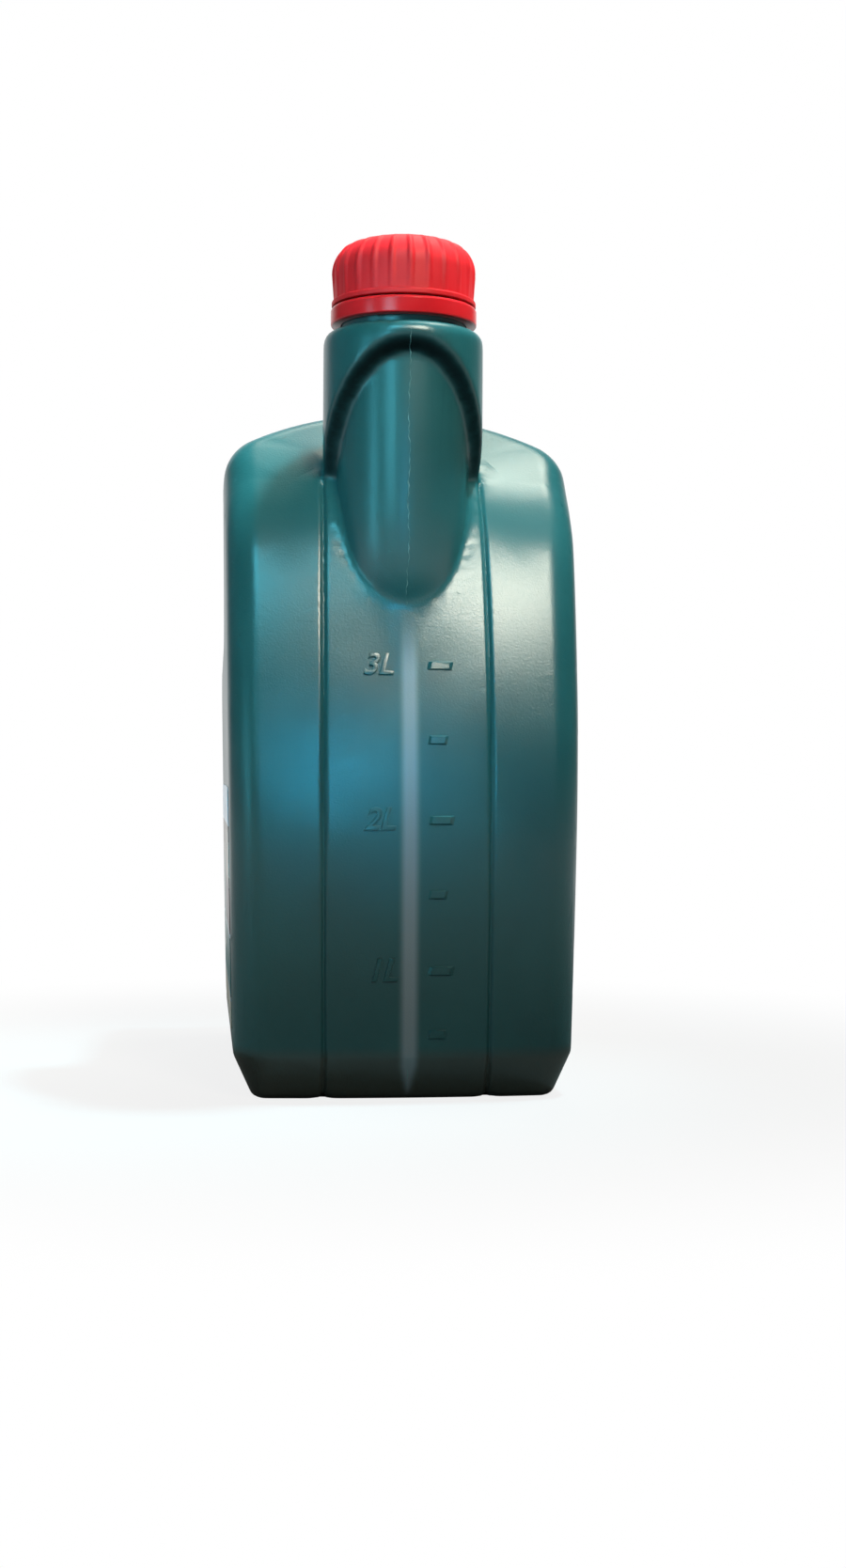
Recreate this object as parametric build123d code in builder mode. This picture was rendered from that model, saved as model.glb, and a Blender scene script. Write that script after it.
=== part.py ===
"""Four-litre motor oil bottle: a blown plastic jug with a corner spout, a rear handle and a screw cap.

Millimetres, +Z up, origin at the centre of the base. The narrow spout side faces -Y.
"""
from build123d import *
from math import hypot
import os

# Body
body_width = 123.4            # across the narrow side, at the shoulder corners
body_length = 188.0           # front to back
foot_flank_loss = 4.1         # each flank draws in by this much towards the base
flank_bow = 0.4               # and swells by this much half way up
wall = 1.6
edge_radius = 11.0            # upright corners and shoulder edges
foot_height = 15.0            # bevel round the base
foot_inset = 6.5
foot_radius = 3.0

# Sloped front, shoulders and the saddle under the handle
slope_start = 136.0
slope_run = 0.355             # depth gained for each millimetre of height
slope_bend = 60.0
brow_height = 37.0            # this far below the roof the slope starts to lean back further
brow_run = 1.2
brow_bend = 40.0
roof_height = 242.0           # crown of the arched shoulders
roof_camber = 18.6            # fall of the roof from its crown to the flanks
roof_corner_radius = 17.0
crest_length = 18.0           # level part of the roof along its crown
saddle_lean = 2.0             # the shoulder falls almost upright to the saddle
saddle_height = 170.0
saddle_bend = 18.0
rear_height = 158.0
rear_bend = 26.0

# Spout: neck, slanting collar and the finish that carries the cap
neck_setback = 28.0           # neck axis behind the front face
neck_radius = 24.5
neck_nose_top = 200.0         # below this the neck narrows to a long nose in the sloped panel
neck_nose_length = 58.0
collar_radius = 27.75
collar_top = 262.5
collar_edge = 4.0
collar_front_height = 5.1     # height of the collar at its front
collar_slant = 1.45           # fall of its lower edge for each millimetre back
finish_radius = 21.5
finish_bore = 19.0
bead_radius = 22.4
bead_rise = 4.7               # bead above the collar
bead_height = 1.8

# Front panel
panel_width = 56.0
groove_width = 1.8
groove_depth = 1.0

# Handle
handle_width = 32.0
handle_depth = 25.0
handle_corner = 11.0          # rounding of its section
handle_top = 232.0            # top of the grip at the neck
handle_fall = 6.0             # drop of the grip from front to rear
handle_bend = 28.0
handle_rear_gap = 1.5         # handle inside the rear wall

# Cap, liner and tamper band
cap_rise = 8.8                # cap edge above the collar
cap_radius = 24.3
cap_height = 22.2
cap_dome = 11.0               # rounding of the top edge
cap_wall = 1.8
cap_clearance = 0.5           # between the cap's skirt and the bead
rib_count = 24
rib_width = 1.8
rib_height = 0.7
lip_height = 1.6
seal_depth = 8.6              # liner below the top of the cap
seal_ring_radius = 20.5
seal_ring_width = 2.0
liner_thickness = 1.2
liner_clearance = 0.9
band_gap = 0.6                # slit between the cap and the band
band_height = 6.0
band_radius = 25.3
band_clearance = 0.3
band_lip_height = 1.6

# Label on the left wide face
label_thickness = 0.25
label_bottom = 21.5
label_height = 83.5
label_length = 146.0
label_front_margin = 19.0
label_corner = 7.0

# Places worked out from the sizes above
front = -body_length / 2
rear = body_length / 2
neck_y = front + neck_setback
collar_front = neck_y - collar_radius
bead_bottom = collar_top + bead_rise
cap_bottom = collar_top + cap_rise
cap_top = cap_bottom + cap_height
cap_bore = bead_radius + cap_clearance
liner_top = cap_top - seal_depth
finish_top = liner_top - liner_thickness
band_top = cap_bottom - band_gap
band_bottom = band_top - band_height
roof_corner_height = roof_height - roof_camber
brow_start = roof_height - brow_height
brow_foot = front + (brow_start - slope_start) * slope_run
roof_front = brow_foot + (roof_height - brow_start) * brow_run
roof_back = roof_front + crest_length
past = 20.0                   # cutting shapes reach past the body by this much
over = 2 * wall               # the side outline clears the roof by this much
half_shoulder = body_width / 2
half_foot = half_shoulder - foot_flank_loss
half_belly = (half_foot + half_shoulder) / 2 + flank_bow
spout_section = Plane(origin=(0, neck_y, 0), x_dir=(1, 0, 0), z_dir=(0, -1, 0))
spout_axis = Axis((0, neck_y, 0), (0, 0, 1))


def spout_plane(height):
    """Level plane centred on the spout axis."""
    return Plane(origin=(0, neck_y, height))


def flank_arc(inset):
    """Bowed outline of the right flank, seen from the front."""
    return ThreePointArc(
        (half_foot - inset, inset),
        (half_belly - inset, roof_corner_height / 2),
        (half_shoulder - inset, roof_corner_height - inset),
        mode=Mode.PRIVATE,
    )


def body_form(inset):
    """The body without spout or handle, drawn inside the outer skin by inset."""
    flank = flank_arc(inset)
    with BuildPart() as form:
        with BuildSketch(Plane.YZ):
            with BuildLine():
                outline = FilletPolyline(
                    (front, -past),
                    (front, slope_start),
                    (brow_foot, brow_start),
                    (roof_front + over * brow_run, roof_height + over),
                    (roof_back, roof_height + over),
                    (roof_back + saddle_lean, saddle_height),
                    (rear, rear_height),
                    (rear, -past),
                    radius=[slope_bend, brow_bend, wall, wall, saddle_bend, rear_bend],
                )
                Line(outline @ 1, outline @ 0)
            make_face()
            if inset:
                offset(amount=-inset, mode=Mode.REPLACE)
        extrude(amount=body_width, both=True)
        with BuildSketch(Plane.XZ) as face:
            with BuildLine():
                add(flank)
                mirror(about=Plane.YZ)
                ThreePointArc(
                    flank @ 1, (0, roof_height - inset), (inset - half_shoulder, roof_corner_height - inset)
                )
                Line(flank @ 0, (inset - half_foot, inset))
            make_face()
            fillet(face.vertices().group_by(Axis.Y)[-1], radius=roof_corner_radius - inset)
        extrude(amount=body_length, both=True, mode=Mode.INTERSECT)
        # The curved edges are where the side outline meets the front outline
        fillet(form.edges().filter_by(GeomType.LINE, reverse=True), radius=edge_radius - inset)
        bottom = form.faces().sort_by(Axis.Z)[0]
        chamfer(bottom.edges(), length=foot_inset, length2=foot_height, reference=bottom)
        fillet(form.faces().sort_by(Axis.Z)[0].edges(), radius=foot_radius)
    return form.part


def collar_form(inset):
    """The collar, a short drum cut off below by a plane that slants down to the rear."""
    shift = inset * hypot(1, collar_slant)
    front_edge = collar_top - collar_front_height + shift
    depth = 2 * collar_radius
    with BuildPart() as form:
        with BuildSketch(spout_plane(slope_start)):
            Circle(collar_radius - inset)
        extrude(amount=collar_top - inset - slope_start)
        fillet(form.edges().group_by(Axis.Z)[-1], radius=collar_edge - inset)
        with BuildSketch(Plane.YZ):
            with BuildLine():
                Polyline(
                    (collar_front - collar_edge, collar_top + past),
                    (collar_front - collar_edge, front_edge + collar_edge * collar_slant),
                    (collar_front + depth, front_edge - depth * collar_slant),
                    (collar_front + depth, collar_top + past),
                    close=True,
                )
            make_face()
        extrude(amount=body_width, both=True, mode=Mode.INTERSECT)
    return form.part


def handle_form(inset):
    """The hollow grip that runs back from the neck and down into the rear of the body."""
    middle = handle_top - handle_depth / 2
    leg_y = rear - handle_rear_gap - handle_depth / 2
    leg_bottom = rear_height - rear_bend - handle_rear_gap
    with BuildPart() as form:
        with BuildLine() as path:
            FilletPolyline(
                (0, neck_y + neck_radius / 2, middle),
                (0, leg_y, middle - handle_fall),
                (0, leg_y, leg_bottom),
                radius=handle_bend,
            )
        with BuildSketch(Plane(origin=path.line @ 0, x_dir=(1, 0, 0), z_dir=path.line % 0)):
            RectangleRounded(
                handle_width - 2 * inset, handle_depth - 2 * inset, radius=handle_corner - inset
            )
        sweep()
    return form.part


def neck_form(inset):
    """The neck, a drum that narrows below into a long bullet nose."""
    radius = neck_radius - inset
    nose = neck_nose_length - inset
    with BuildPart() as form:
        with BuildSketch(spout_section):
            with BuildLine():
                curve = TangentArc((radius, neck_nose_top), (0, neck_nose_top - nose), tangent=(0, -1))
                Polyline(curve @ 1, (0, collar_top - inset), (radius, collar_top - inset), curve @ 0)
            make_face()
        revolve(axis=spout_axis)
    return form.part


skin = body_form(0)
groove_floor = body_form(groove_depth)
cavity_body = body_form(wall)
cavity_neck = neck_form(wall)
cavity_collar = collar_form(wall)
cavity_handle = handle_form(wall)

# Grooves beside the front panel
with BuildPart() as grooves:
    with Locations((-panel_width / 2, front, groove_depth), (panel_width / 2, front, groove_depth)):
        Box(
            groove_width, 2 * (neck_setback + collar_radius), roof_corner_height - groove_depth,
            align=(Align.CENTER, Align.CENTER, Align.MIN),
        )
    add(groove_floor, mode=Mode.SUBTRACT)

# Space inside the bottle, from the base up to the mouth
with BuildPart() as cavity:
    add(cavity_body)
    add(cavity_neck)
    add(cavity_collar)
    add(cavity_handle)
    with BuildSketch(spout_plane(collar_top - 2 * wall)):
        Circle(finish_bore)
    extrude(amount=finish_top - collar_top + 2 * wall + past)

# Bottle, blown in one piece with its handle
with BuildPart() as bottle:
    add(skin)
    add(grooves.part, mode=Mode.SUBTRACT)
    add(neck_form(0))
    add(collar_form(0))
    add(handle_form(0))
    with BuildSketch(spout_plane(collar_top - collar_edge)):
        Circle(finish_radius)
    extrude(amount=finish_top - collar_top + collar_edge)
    with BuildSketch(spout_plane(bead_bottom)):
        Circle(bead_radius)
    extrude(amount=bead_height)
    add(cavity.part, mode=Mode.SUBTRACT)
bottle.part.label = "bottle"

# Screw cap with ribs that run over its rounded top edge
with BuildPart() as screw_cap:
    with BuildSketch(spout_section) as cap_section:
        with Locations((0, cap_bottom)):
            Rectangle(cap_radius, cap_height, align=(Align.MIN, Align.MIN))
        fillet(cap_section.vertices().group_by(Axis.Y)[-1].sort_by(Axis.X)[-1], radius=cap_dome)
        with Locations((0, cap_bottom)):
            Rectangle(cap_radius + rib_height, lip_height, align=(Align.MIN, Align.MIN))
    revolve(axis=spout_axis)
    with BuildSketch(spout_section) as rib_section:
        with Locations((0, cap_bottom)):
            Rectangle(cap_radius + rib_height, cap_height, align=(Align.MIN, Align.MIN))
        fillet(rib_section.vertices().group_by(Axis.Y)[-1].sort_by(Axis.X)[-1], radius=cap_dome)
    rib = extrude(amount=rib_width / 2, both=True, mode=Mode.PRIVATE)
    for number in range(rib_count):
        add(rib.rotate(spout_axis, number * 360 / rib_count))
    with BuildSketch(spout_section) as hollow_section:
        with Locations((0, cap_bottom)):
            Rectangle(cap_bore, cap_height - cap_wall, align=(Align.MIN, Align.MIN))
        fillet(
            hollow_section.vertices().group_by(Axis.Y)[-1].sort_by(Axis.X)[-1], radius=cap_dome - cap_wall
        )
        with Locations((seal_ring_radius, liner_top)):
            Rectangle(seal_ring_width, seal_depth, align=(Align.MAX, Align.MIN), mode=Mode.SUBTRACT)
    revolve(axis=spout_axis, mode=Mode.SUBTRACT)
screw_cap.part.label = "screw_cap"

# Sealing disc inside the cap
with BuildPart() as cap_liner:
    with BuildSketch(spout_plane(finish_top)):
        Circle(cap_bore - liner_clearance)
    extrude(amount=liner_thickness)
cap_liner.part.label = "cap_liner"

# Ring that stays on the neck, held under the bead
with BuildPart() as tamper_band:
    with BuildSketch(spout_section):
        with Locations((bead_radius + band_clearance, band_bottom)):
            Rectangle(
                band_radius - bead_radius - band_clearance, band_height, align=(Align.MIN, Align.MIN)
            )
        with Locations((finish_radius + band_clearance, band_bottom)):
            Rectangle(
                band_radius - finish_radius - band_clearance, band_lip_height, align=(Align.MIN, Align.MIN)
            )
    revolve(axis=spout_axis)
tamper_band.part.label = "tamper_band"

# Label sheet, bent to the curve of the face that carries it
left_flank = flank_arc(0).mirror(Plane.YZ)
with BuildPart() as side_label:
    with BuildSketch(Plane.YZ):
        with Locations((front + label_front_margin, label_bottom)):
            Rectangle(label_length, label_height, align=(Align.MIN, Align.MIN))
    extrude(amount=-body_width)
    fillet(side_label.edges().filter_by(Axis.X), radius=label_corner)
    with BuildSketch(Plane.XZ):
        with Locations(left_flank.arc_center):
            Circle(left_flank.radius + label_thickness)
            Circle(left_flank.radius, mode=Mode.SUBTRACT)
    extrude(amount=body_length, both=True, mode=Mode.INTERSECT)
side_label.part.label = "side_label"

os.makedirs("parts", exist_ok=True)
for piece in (bottle, screw_cap, cap_liner, tamper_band, side_label):
    export_step(piece.part, f"parts/{piece.part.label}.step")
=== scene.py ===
"""Motor oil bottle: the finish of the blown bottle, its cap, band and label, in a plain studio.

Run as a script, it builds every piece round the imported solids, in metres and in their own frame.
"""
import math

import bmesh
import bpy
import numpy as np
from bpy.props import FloatProperty, FloatVectorProperty, IntProperty, PointerProperty
from bpy.types import Operator, Panel, PropertyGroup
from mathutils import Matrix, Vector
from mathutils.bvhtree import BVHTree


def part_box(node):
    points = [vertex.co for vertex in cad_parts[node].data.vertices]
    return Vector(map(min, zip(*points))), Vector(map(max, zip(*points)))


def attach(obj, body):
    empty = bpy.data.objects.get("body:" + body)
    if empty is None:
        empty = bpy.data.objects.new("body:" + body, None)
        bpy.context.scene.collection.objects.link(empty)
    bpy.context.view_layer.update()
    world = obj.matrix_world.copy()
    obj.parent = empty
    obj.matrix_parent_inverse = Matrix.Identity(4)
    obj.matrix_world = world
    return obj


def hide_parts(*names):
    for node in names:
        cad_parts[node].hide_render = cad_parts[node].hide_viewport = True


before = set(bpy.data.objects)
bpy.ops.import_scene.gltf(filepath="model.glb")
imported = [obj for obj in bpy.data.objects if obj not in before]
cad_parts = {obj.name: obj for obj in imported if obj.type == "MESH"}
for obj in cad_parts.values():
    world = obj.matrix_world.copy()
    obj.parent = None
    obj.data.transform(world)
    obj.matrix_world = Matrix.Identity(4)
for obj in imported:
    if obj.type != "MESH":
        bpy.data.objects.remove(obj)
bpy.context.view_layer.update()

bl_info = {
    "name": "Oil bottle finish",
    "version": (1, 0, 0),
    "blender": (4, 5, 0),
    "location": "3D View > Sidebar > Bottle",
    "description": "Builds the visible bottle, cap, band and label round the packed solids",
    "category": "Object",
}

# Places read from the frame
MM = 0.001
BOTTLE_LOW, BOTTLE_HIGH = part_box("bottle")
CAP_LOW, CAP_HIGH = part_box("screw_cap")
BAND_LOW, BAND_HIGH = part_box("tamper_band")
LINER_LOW, LINER_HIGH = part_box("cap_liner")
SPOUT_Y = (CAP_LOW.y + CAP_HIGH.y) / 2
CAP_RADIUS = CAP_HIGH.x
BAND_RADIUS = BAND_HIGH.x
FRONT = BOTTLE_LOW.y

# Limits between the regions of the skin
COLLAR_REACH = 28.2 * MM
COLLAR_FOOT = 213 * MM
BROW_FOOT = 190 * MM
CORNER_X = 50 * MM

# Heights at which the front panel's half widths hold
BELLY_HEIGHT = 130 * MM
SHOULDER_HEIGHT = 222 * MM


def number(name, description, default, **options):
    """A plain number."""
    return FloatProperty(name=name, description=description, default=default, **options)


def count(name, description, default):
    """A whole number."""
    return IntProperty(name=name, description=description, default=default)


def length(name, description, default):
    """A size in metres, given in millimetres."""
    return number(name, description, default * MM, unit="LENGTH", subtype="DISTANCE", precision=5)


def angle(name, description, default):
    """An angle in radians, given in degrees."""
    return number(name, description, math.radians(default), subtype="ANGLE")


def power(name, description, default):
    """A lamp's power in watts."""
    return number(name, description, default, subtype="POWER")


def colour(name, description, default):
    """A linear colour."""
    return FloatVectorProperty(
        name=name, description=description, default=default, size=3, subtype="COLOR", min=0, max=1
    )


class BottleSizes(PropertyGroup):
    """Sizes of the blown bottle's moulded detail."""

    grid: length("Skin grid", "Spacing of the points on the bottle's skin", 1.4)
    groove_passes: count("Groove bed", "Passes that even the skin where a groove is pressed", 120)
    soften_passes: count("Softening", "Passes that round the blown edges", 3)
    blend_passes: count("Nose blend", "Passes that blend the neck's nose", 40)
    collar_top: length("Collar top", "Height of the collar under the cap", 262.5)
    finish_radius: length("Finish radius", "Radius of the plain neck under the cap", 21.5)
    bead_radius: length("Bead radius", "Radius of the bead that holds the band", 22.4)
    bead_bottom: length("Bead bottom", "Height of the bead", 267.2)
    bead_height: length("Bead height", "Thickness of the bead", 1.8)
    wall: length("Wall", "Thickness of the blown wall", 1.6)
    front_bow: length("Front bow", "How far the front falls back towards its upright corners", 2.5)
    slope_start: length("Slope start", "Height at which the front starts to slope", 136.0)
    slope_run: number("Slope run", "Depth gained for each height", 0.355)
    slope_bend: length("Slope bend", "Half height of the eased bend", 56.0)
    solid_bend: length("Solid's bend", "Half height of the same bend in the solid", 10.0)
    brow_start: length("Brow start", "Height at which the slope leans back further", 205.0)
    brow_run: number("Brow run", "Further depth gained for each height", 0.845)
    brow_bend: length("Brow bend", "Half height of the eased bend at the brow", 20.0)
    neck_radius: length("Neck radius", "Radius of the solid's neck below the collar", 24.5)
    nose_top: length("Nose top", "Height below which the neck narrows to its nose", 200.0)
    nose_length: length("Nose length", "Height of the neck's nose", 58.0)
    neck_draw: length("Neck draw", "How far the neck draws in under the collar's ledge", 2.1)
    panel_foot: length("Panel foot", "Half width of the front panel at the base", 27.7)
    panel_belly: length("Panel belly", "Half width of the front panel half way up", 28.3)
    panel_top: length("Panel top", "Half width of the front panel at the shoulders", 27.5)
    groove_top: length("Groove top", "Height at which the panel grooves end", 214.0)
    groove_depth: length("Groove depth", "Depth of the panel grooves", 1.0)
    groove_spread: length("Groove spread", "Half width of the groove's hollow", 0.75)
    thread_lead: length("Thread lead", "Rise of the thread in one turn", 6.0)
    thread_turns: number("Thread turns", "Turns of the neck thread", 1.6)
    thread_bead: length("Thread bead", "Radius of the round thread", 1.05)
    flash_bead: length("Flash line", "Radius of the parting line's flash", 0.2)
    mark_rise: length("Mark rise", "Height of the litre marks above the panel", 0.75)
    mark_height: length("Mark height", "Height of a litre mark", 3.3)
    major_mark: length("Long mark", "Length of a whole litre's mark", 9.0)
    minor_mark: length("Short mark", "Length of a half litre's mark", 6.8)
    digit_height: length("Digit size", "Type size of the litre digits", 10.4)


class CapSizes(PropertyGroup):
    """Sizes of the screw cap."""

    rib_count: count("Ribs", "Ribs round the cap", 24)
    rib_rise: length("Rib rise", "Height of a rib above the cap's wall", 0.7)
    lip_height: length("Lip height", "Height of the plain lip", 1.6)
    dome: length("Dome radius", "Rounding of the cap's top edge", 11.0)
    bore: length("Bore", "Inner radius of the skirt", 22.9)
    top_wall: length("Top wall", "Thickness of the cap's top", 1.8)
    seal_ring: length("Seal ring", "Outer radius of the ring above the liner", 20.5)
    seal_width: length("Seal ring width", "Thickness of that ring", 2.0)
    thread_bead: length("Thread bead", "Radius of the round thread inside the cap", 0.85)


class FinishColours(PropertyGroup):
    """Colours of the finishes, linear."""

    teal: colour("Bottle teal", "Body of the bottle", (0.010, 0.070, 0.073))
    teal_pale: colour("Pale teal", "Paler cloud in the blown plastic", (0.014, 0.088, 0.091))
    stripe: colour("View stripe", "Clear stripe that shows the level", (0.21, 0.245, 0.265))
    foot: colour("Foot", "Scuffed bevel round the base", (0.055, 0.062, 0.052))
    # Painted shade: a darker tint with less gloss stands in for the shade that falls in the hollow under
    # the collar's ledge. The plastic there is not known to be darker.
    painted_shade: colour("Recess", "Dull plastic in the recess under the collar's ledge", (0.003, 0.010, 0.011))
    flash: colour("Flash", "Pale flash on the parting line", (0.20, 0.34, 0.34))
    red: colour("Cap red", "Screw cap and band", (0.64, 0.011, 0.015))
    red_pale: colour("Pale red", "Paler cloud in the cap", (0.70, 0.019, 0.024))
    foam: colour("Liner", "Sealing disc", (0.80, 0.79, 0.74))
    label_pale: colour("Label pale", "Pale field of the label", (0.62, 0.72, 0.80))
    label_stone: colour("Label stone", "Grey-brown field of the label", (0.24, 0.21, 0.18))
    label_dark: colour("Label dark", "Dark field of the label", (0.012, 0.013, 0.015))
    label_teal: colour("Label teal", "Teal field of the label", (0.02, 0.20, 0.20))
    label_cream: colour("Label cream", "Cream field of the label", (0.70, 0.66, 0.55))
    floor: colour("Floor", "Pale floor", (0.5, 0.5, 0.5))


class StudioSettings(PropertyGroup):
    """Camera and lamps."""

    camera_place: FloatVectorProperty(
        name="Camera", description="Where the camera stands", default=(-0.0693, -0.7801, 0.1108),
        subtype="XYZ", unit="LENGTH",
    )
    camera_yaw: angle("Yaw", "Turn of the camera towards +X", 6.16)
    camera_pitch: angle("Pitch", "Tilt of the camera above level", -0.36)
    camera_roll: angle("Roll", "Roll of the camera", 0.35)
    lens: number("Lens", "Focal length for a 36 mm long side", 47.35)
    key_power: power("Key", "Soft lamp above the front right", 0.52)
    cool_power: power("Cool", "Soft cool lamp at the left", 0.18)
    top_power: power("Top", "Lamps overhead", 0.20)
    side_power: power("Sides", "Soft lamps at the sides and rear", 3.2)
    fill: number("Fill", "Strength of the even light all round", 0.05)


# Node trees

def put(tree, kind, inputs=None, **settings):
    """Adds a node. Each input is given a value, or a socket to link from."""
    node = tree.nodes.new(kind)
    for key, value in settings.items():
        setattr(node, key, value)
    for key, value in (inputs or {}).items():
        socket = node.inputs[key]
        if isinstance(value, bpy.types.NodeSocket):
            tree.links.new(value, socket)
        else:
            socket.default_value = value
    return node


def math_node(tree, operation, first, second=0.0, clamp=False):
    """Result of one sum on two values or sockets."""
    node = put(tree, "ShaderNodeMath", {0: first, 1: second}, operation=operation, use_clamp=clamp)
    return node.outputs[0]


def scaled(tree, value, factor, offset):
    """A value times a factor, plus an offset."""
    return math_node(tree, "ADD", math_node(tree, "MULTIPLY", value, factor), offset)


def ramp(tree, value, low, high, smooth=True):
    """0 below low and 1 above high, or the other way round where low is the larger."""
    kind = "SMOOTHSTEP" if smooth else "LINEAR"
    inputs = {"Value": value, "From Min": low, "From Max": high}
    return put(tree, "ShaderNodeMapRange", inputs, interpolation_type=kind).outputs["Result"]


def mixed(tree, share, first, second):
    """Blend of two colours or sockets."""
    node = put(tree, "ShaderNodeMix", {"Factor": share}, data_type="RGBA")
    for socket, value in ((node.inputs[6], first), (node.inputs[7], second)):
        if isinstance(value, bpy.types.NodeSocket):
            tree.links.new(value, socket)
        else:
            socket.default_value = (*value, 1.0)
    return node.outputs[2]


def product(tree, *values):
    """Product of several values."""
    result = values[0]
    for value in values[1:]:
        result = math_node(tree, "MULTIPLY", result, value)
    return result


def moulded_grain():
    """Shader group: the fine grain and the slow clouding of moulded plastic."""
    name = "moulded_grain"
    if name in bpy.data.node_groups:
        return bpy.data.node_groups[name]
    group = bpy.data.node_groups.new(name, "ShaderNodeTree")
    for label, default in (("Grain scale", 1500.0), ("Cloud scale", 18.0)):
        socket = group.interface.new_socket(label, in_out="INPUT", socket_type="NodeSocketFloat")
        socket.default_value = default
    for label in ("Height", "Cloud", "Scuff"):
        group.interface.new_socket(label, in_out="OUTPUT", socket_type="NodeSocketFloat")
    given = put(group, "NodeGroupInput")
    place = put(group, "ShaderNodeTexCoord").outputs["Object"]
    grain = put(group, "ShaderNodeTexNoise", {
        "Vector": place, "Scale": given.outputs["Grain scale"], "Detail": 2.0, "Roughness": 0.55,
    }).outputs["Fac"]
    cloud = put(group, "ShaderNodeTexNoise", {
        "Vector": place, "Scale": given.outputs["Cloud scale"], "Detail": 3.0, "Roughness": 0.5,
    }).outputs["Fac"]
    streak = put(group, "ShaderNodeTexNoise", {
        "Vector": place, "Scale": 260.0, "Detail": 4.0, "Roughness": 0.7,
    }).outputs["Fac"]
    put(group, "NodeGroupOutput", {
        "Height": grain, "Cloud": ramp(group, cloud, 0.3, 0.7), "Scuff": ramp(group, streak, 0.60, 0.74),
    })
    return group


def plastic(name, roughness, grain_depth, specular=0.5, spread=0.0, cloud_scale=18.0):
    """A new material with moulded grain in its bump, and the clouds in its roughness where they spread it.

    Returns it with its tree, shader and grain group.
    """
    material = bpy.data.materials.new(name)
    material.use_nodes = True
    tree = material.node_tree
    shader = tree.nodes["Principled BSDF"]
    shader.inputs["Roughness"].default_value = roughness
    shader.inputs["Specular IOR Level"].default_value = specular
    grain = put(tree, "ShaderNodeGroup", node_tree=moulded_grain())
    bump = put(tree, "ShaderNodeBump", {
        "Height": grain.outputs["Height"], "Distance": grain_depth, "Strength": 1.0,
    })
    tree.links.new(bump.outputs["Normal"], shader.inputs["Normal"])
    grain.inputs["Cloud scale"].default_value = cloud_scale
    if spread:
        rough = scaled(tree, grain.outputs["Cloud"], spread, roughness - spread / 2)
        tree.links.new(rough, shader.inputs["Roughness"])
    return material, tree, shader, grain


def clouded_material(name, first, second, *args, **options):
    """Moulded plastic whose colour clouds between two tints."""
    material, tree, shader, grain = plastic(name, *args, **options)
    tint = mixed(tree, grain.outputs["Cloud"], first, second)
    tree.links.new(tint, shader.inputs["Base Color"])
    return material


def teal_material():
    """Blown teal plastic: clear view stripe down the panel, scuffed foot, painted shade under the collar's
    ledge.
    """
    tints = bpy.context.scene.bottle_finish
    full_gloss = 0.65
    material, tree, shader, grain = plastic("blown_teal", 0.305, 0.05 * MM, full_gloss, spread=0.05)
    place = put(tree, "ShaderNodeTexCoord").outputs["Object"]
    x, y, z = put(tree, "ShaderNodeSeparateXYZ", {"Vector": place}).outputs
    body = mixed(tree, grain.outputs["Cloud"], tints.teal, tints.teal_pale)
    scuffed = scaled(tree, grain.outputs["Scuff"], -0.25, 1.0)
    low_part = product(tree, ramp(tree, z, 19 * MM, 13 * MM), scuffed)
    body = mixed(tree, low_part, body, tints.foot)
    # Painted shade: darker tint and lower gloss where the skin lies in the hollow under the collar's ledge.
    painted_shade = put(tree, "ShaderNodeAttribute", attribute_name="painted_shade").outputs["Fac"]
    body = mixed(tree, painted_shade, body, tints.painted_shade)
    gloss = scaled(tree, painted_shade, -0.5, full_gloss)
    tree.links.new(gloss, shader.inputs["Specular IOR Level"])
    aside = math_node(tree, "ABSOLUTE", math_node(tree, "SUBTRACT", x, 0.6 * MM))
    narrowing = math_node(tree, "MULTIPLY", ramp(tree, z, 2 * MM, 12 * MM, smooth=False), 2.2 * MM)
    band = ramp(tree, math_node(tree, "SUBTRACT", aside, narrowing), 2.8 * MM, -1.1 * MM)
    stripe = product(
        tree, band, band, ramp(tree, z, 168 * MM, 142 * MM), ramp(tree, z, 0.5 * MM, 4 * MM),
        ramp(tree, y, -60 * MM, -70 * MM),
    )
    tree.links.new(mixed(tree, stripe, body, tints.stripe), shader.inputs["Base Color"])
    return material


def label_material():
    """Printed film: plain level fields of colour, with a ring and slanting bars."""
    tints = bpy.context.scene.bottle_finish
    material, tree, shader, _ = plastic("printed_film", 0.28, 0.006 * MM)
    place = put(tree, "ShaderNodeTexCoord").outputs["Object"]
    _, y, z = put(tree, "ShaderNodeSeparateXYZ", {"Vector": place}).outputs
    edge = 0.15 * MM

    def above(height):
        return ramp(tree, z, height * MM - edge, height * MM + edge)

    field = mixed(tree, above(32.5), tints.label_cream, tints.label_teal)
    field = mixed(tree, above(54.0), field, tints.label_dark)
    field = mixed(tree, above(70.5), field, tints.label_stone)
    field = mixed(tree, above(91.5), field, tints.label_pale)
    for line in (32.5, 54.0):
        rule_top = (line + 0.8) * MM
        rule = product(tree, above(line - 0.6), ramp(tree, z, rule_top + edge, rule_top - edge))
        field = mixed(tree, rule, field, tints.label_pale)
    slant = math_node(tree, "ADD", y, math_node(tree, "MULTIPLY", z, 0.6))
    bars = math_node(tree, "PINGPONG", slant, 9 * MM)
    in_bars = product(
        tree, ramp(tree, bars, 5.2 * MM, 5.4 * MM), above(73.0), ramp(tree, z, 89.2 * MM, 89.0 * MM),
        ramp(tree, y, -8 * MM, -8.2 * MM),
    )
    field = mixed(tree, in_bars, field, tints.label_cream)
    across = math_node(tree, "SUBTRACT", y, 34 * MM)
    upward = math_node(tree, "SUBTRACT", z, 62 * MM)
    radius = math_node(tree, "SQRT", math_node(
        tree, "ADD", product(tree, across, across), product(tree, upward, upward)))
    field = mixed(tree, ramp(tree, radius, 21.1 * MM, 20.9 * MM), field, tints.label_cream)
    field = mixed(tree, ramp(tree, radius, 17.6 * MM, 17.4 * MM), field, tints.label_teal)
    tree.links.new(field, shader.inputs["Base Color"])
    return material


# Meshes

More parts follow.
